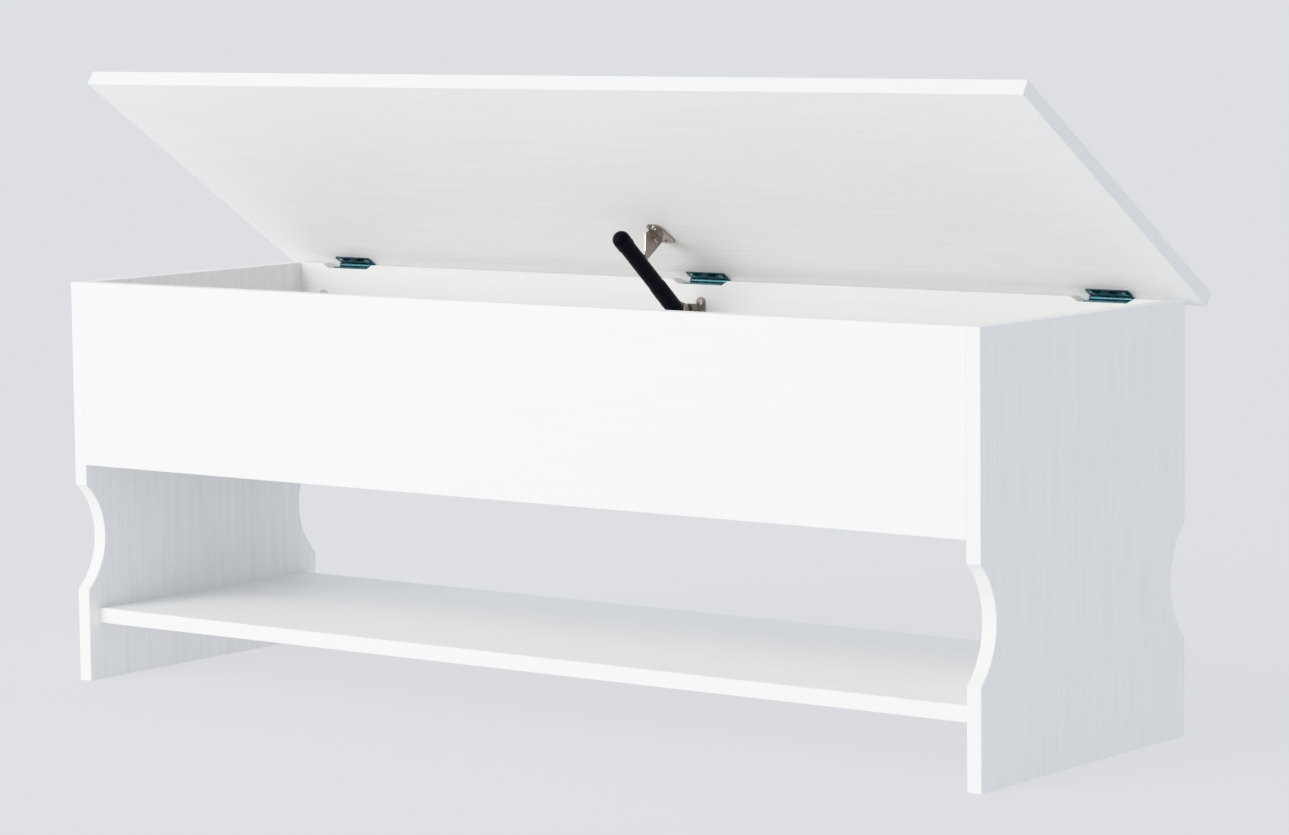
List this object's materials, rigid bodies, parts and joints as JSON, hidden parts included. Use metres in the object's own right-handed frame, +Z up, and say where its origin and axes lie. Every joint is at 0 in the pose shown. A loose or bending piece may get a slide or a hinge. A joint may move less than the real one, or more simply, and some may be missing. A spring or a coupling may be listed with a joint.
{
  "type": "storage bench",
  "caption": "Board bench with a storage box under a hinged seat lid, a spring-tube lid stay, an open shelf below and arc cut-outs in the side panels.",
  "frame": {"origin": "on the floor, under the middle of everything that stands over it at rest, with the lid open as stored", "axes": "+X along the bench, +Y towards the hinged side, +Z up"},
  "size_m": [1.2, 0.3918, 0.6586],
  "materials": {
    "white_board": "white paint on fine-grained board, satin",
    "zinc_plated_steel": "bright zinc plate with a blue cast",
    "nickel_plated_steel": "nickel plate on stamped steel",
    "black_plastic": "smooth moulded black plastic",
    "plunger_plastic": "natural acetal",
    "cast_zinc": "tumbled die-cast zinc",
    "spring_steel": "oiled spring wire",
    "beech": "fluted raw beech"
  },
  "bodies": {
    "root": {"back_panel": "white_board", "box_bottom": "white_board", "cam_bolts": "zinc_plated_steel", "cam_locks": "cast_zinc", "front_panel": "white_board", "hinge_body_screws": "zinc_plated_steel", "hinge_left_body_leaf": "zinc_plated_steel", "hinge_left_pin": "zinc_plated_steel", "hinge_middle_body_leaf": "zinc_plated_steel", "hinge_middle_pin": "zinc_plated_steel", "hinge_right_body_leaf": "zinc_plated_steel", "hinge_right_pin": "zinc_plated_steel", "shelf": "white_board", "side_panel_left": "white_board", "side_panel_right": "white_board", "stay_base_bracket": "nickel_plated_steel", "stay_base_rivet": "nickel_plated_steel", "stay_base_screws": "nickel_plated_steel", "wooden_dowels": "beech"},
    "lid": {"lid": "white_board", "hinge_lid_screws": "zinc_plated_steel", "stay_lid_bracket": "nickel_plated_steel", "stay_lid_screws": "nickel_plated_steel", "stay_lid_rivet": "nickel_plated_steel", "hinge_left_lid_leaf": "zinc_plated_steel", "hinge_middle_lid_leaf": "zinc_plated_steel", "hinge_right_lid_leaf": "zinc_plated_steel"},
    "stay_arm": {"stay_arm": "nickel_plated_steel", "stay_elbow_rivet": "nickel_plated_steel", "stay_tube_rivets": "nickel_plated_steel", "stay_spring_tube": "black_plastic", "stay_tube_sleeve": "black_plastic", "stay_tube_cap": "black_plastic", "stay_spring": "spring_steel"},
    "stay_link": {"stay_link": "nickel_plated_steel"},
    "stay_plunger": {"stay_plunger": "plunger_plastic", "stay_plunger_pin": "nickel_plated_steel"}
  },
  "joints": [
    {"name": "lid_hinge", "type": "hinge", "parent": "root", "child": "lid", "pos_m": [0, 0.17489, 0.43175], "axis": [-1, 0, 0], "range_deg": [-33.15, 61.85]},
    {"name": "stay_arm_pivot", "type": "hinge", "parent": "root", "child": "stay_arm", "pos_m": [-0.0135, 0.14789, 0.40375], "axis": [-1, 0, 0], "range_deg": [-33.15, 61.85]},
    {"name": "stay_elbow", "type": "hinge", "parent": "stay_arm", "child": "stay_link", "pos_m": [-0.0154, 0.07103, 0.45156], "axis": [-1, 0, 0], "range_deg": [-61.85, 33.15]},
    {"name": "stay_plunger_slide", "type": "slide", "parent": "stay_arm", "child": "stay_plunger", "axis": [0, 0.7587, -0.6514], "range_m": [-0.00525, 0.0098], "deforming": ["stay_spring"]}
  ],
  "couplings": [
    {"joint": "stay_arm_pivot", "follows": "lid_hinge", "ratio": 1},
    {"joint": "stay_elbow", "follows": "lid_hinge", "ratio": -1},
    {"joint": "stay_plunger_slide", "follows": "lid_hinge", "m_per_rad": 0.009}
  ]
}
